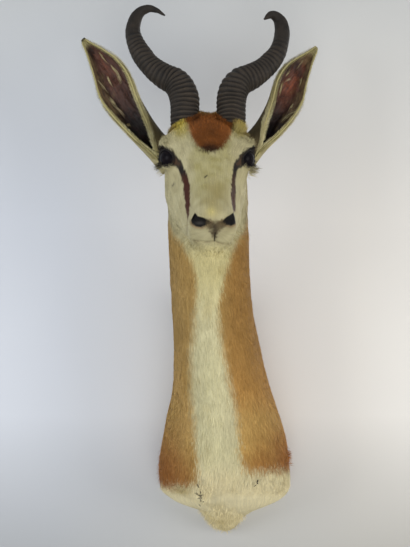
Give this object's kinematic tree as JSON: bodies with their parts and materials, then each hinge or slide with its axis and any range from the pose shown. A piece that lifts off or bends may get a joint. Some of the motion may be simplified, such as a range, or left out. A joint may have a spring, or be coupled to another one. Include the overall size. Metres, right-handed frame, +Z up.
{
  "type": "springbok head mount",
  "caption": "Antelope head and long neck as a wall trophy: ringed lyre-shaped horns, cupped ears and a tan and white hide, hung by its flat back board.",
  "frame": {"origin": "middle of the back board's flat back face, on the wall", "axes": "+Z up, +Y into the wall, the animal looks along -Y, +X to the right of somebody who faces it"},
  "size_m": [0.3209, 0.339, 0.7444],
  "materials": {
    "hide": "short dense hair, tan sides with a cream-white face and front",
    "horn": "dark ringed horn, dull, smooth at the tips",
    "eye_glass": "polished dark glass",
    "board_wood": "plain sawn board"
  },
  "bodies": {
    "root": {"hide": "hide", "horn_left": "horn", "horn_right": "horn", "eye_left": "eye_glass", "eye_right": "eye_glass", "back_board": "board_wood"}
  },
  "joints": []
}
